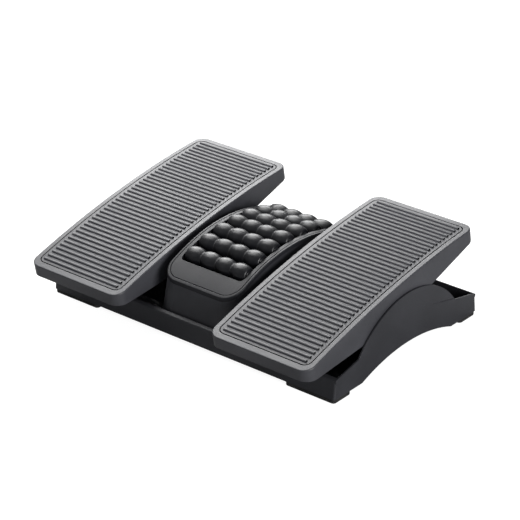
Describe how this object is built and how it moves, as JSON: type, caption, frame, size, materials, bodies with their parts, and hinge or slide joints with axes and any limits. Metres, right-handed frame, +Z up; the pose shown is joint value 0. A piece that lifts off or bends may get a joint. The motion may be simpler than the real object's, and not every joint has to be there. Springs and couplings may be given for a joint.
{
  "type": "tilting under desk footrest",
  "caption": "Floor-standing footrest with two ribbed pedals that swing and tilt either side of an arched centre housing carrying rows of massage rollers.",
  "frame": {"origin": "on the floor, at the middle of the footprint with the pedals at rest", "axes": "+X across the user from left to right, +Y from the user to the rear, +Z up"},
  "size_m": [0.446, 0.3334, 0.1225],
  "materials": {
    "base_plastic": "fine moulded texture, charcoal",
    "housing_plastic": "fine moulded texture, charcoal",
    "cover_plastic": "fine moulded texture, dark grey",
    "bed_plastic": "plain moulded, near black",
    "pedal_plastic": "fine moulded texture, dark grey",
    "tread_plastic": "ribbed, fine moulded texture, dark grey",
    "roller_plastic": "satin black lobes",
    "rail_plastic": "smooth, near black",
    "shoe_plastic": "smooth, slippery, light grey",
    "buffer_rubber": "soft black rubber",
    "foot_rubber": "black rubber",
    "steel": "zinc plated steel",
    "axle_steel": "drawn steel rod"
  },
  "bodies": {
    "base": {"base_frame": "base_plastic", "centre_housing": "housing_plastic", "cover_screws": "steel", "foot_front_left": "foot_rubber", "foot_front_right": "foot_rubber", "foot_rear_left": "foot_rubber", "foot_rear_right": "foot_rubber", "foot_screws": "steel", "glide_rail_left_inner": "rail_plastic", "glide_rail_left_outer": "rail_plastic", "glide_rail_right_inner": "rail_plastic", "glide_rail_right_outer": "rail_plastic", "heel_buffers_left": "buffer_rubber", "heel_buffers_right": "buffer_rubber", "rail_screws": "steel", "roller_axle_1": "axle_steel", "roller_axle_2": "axle_steel", "roller_axle_3": "axle_steel", "roller_axle_4": "axle_steel", "roller_axle_5": "axle_steel", "roller_axle_6": "axle_steel", "roller_axle_7": "axle_steel", "roller_bed": "bed_plastic", "roller_cover": "cover_plastic", "toe_buffers_left": "buffer_rubber", "toe_buffers_right": "buffer_rubber"},
    "pedal_left": {"glide_shoe_left_inner_heel": "shoe_plastic", "glide_shoe_left_inner_toe": "shoe_plastic", "glide_shoe_left_outer_heel": "shoe_plastic", "glide_shoe_left_outer_toe": "shoe_plastic", "pedal_shell_left": "pedal_plastic", "shoe_screws_left": "steel", "tread_nuts_left": "steel", "tread_panel_left": "tread_plastic"},
    "pedal_right": {"glide_shoe_right_inner_heel": "shoe_plastic", "glide_shoe_right_inner_toe": "shoe_plastic", "glide_shoe_right_outer_heel": "shoe_plastic", "glide_shoe_right_outer_toe": "shoe_plastic", "pedal_shell_right": "pedal_plastic", "shoe_screws_right": "steel", "tread_nuts_right": "steel", "tread_panel_right": "tread_plastic"},
    "roller_1": {"massage_roller_1": "roller_plastic"},
    "roller_2": {"massage_roller_2": "roller_plastic"},
    "roller_3": {"massage_roller_3": "roller_plastic"},
    "roller_4": {"massage_roller_4": "roller_plastic"},
    "roller_5": {"massage_roller_5": "roller_plastic"},
    "roller_6": {"massage_roller_6": "roller_plastic"},
    "roller_7": {"massage_roller_7": "roller_plastic"}
  },
  "joints": [
    {"name": "pedal_left_swing", "type": "hinge", "parent": "base", "child": "pedal_left", "pos_m": [-0.1453, 0.02282, -0.048], "axis": [1, 0, 0], "range_deg": [-21.36, 0]},
    {"name": "pedal_right_swing", "type": "hinge", "parent": "base", "child": "pedal_right", "pos_m": [0.1453, 0.02282, -0.048], "axis": [1, 0, 0], "range_deg": [-21.36, 0]},
    {"name": "roller_1_spin", "type": "hinge", "parent": "base", "child": "roller_1", "pos_m": [0, -0.06125, 0.08651], "axis": [1, 0, 0], "continuous": true},
    {"name": "roller_2_spin", "type": "hinge", "parent": "base", "child": "roller_2", "pos_m": [0, -0.0355, 0.09425], "axis": [1, 0, 0], "continuous": true},
    {"name": "roller_3_spin", "type": "hinge", "parent": "base", "child": "roller_3", "pos_m": [0, -0.00902, 0.09893], "axis": [1, 0, 0], "continuous": true},
    {"name": "roller_4_spin", "type": "hinge", "parent": "base", "child": "roller_4", "pos_m": [0, 0.01782, 0.1005], "axis": [1, 0, 0], "continuous": true},
    {"name": "roller_5_spin", "type": "hinge", "parent": "base", "child": "roller_5", "pos_m": [0, 0.04466, 0.09893], "axis": [1, 0, 0], "continuous": true},
    {"name": "roller_6_spin", "type": "hinge", "parent": "base", "child": "roller_6", "pos_m": [0, 0.07113, 0.09425], "axis": [1, 0, 0], "continuous": true},
    {"name": "roller_7_spin", "type": "hinge", "parent": "base", "child": "roller_7", "pos_m": [0, 0.09688, 0.08651], "axis": [1, 0, 0], "continuous": true}
  ]
}
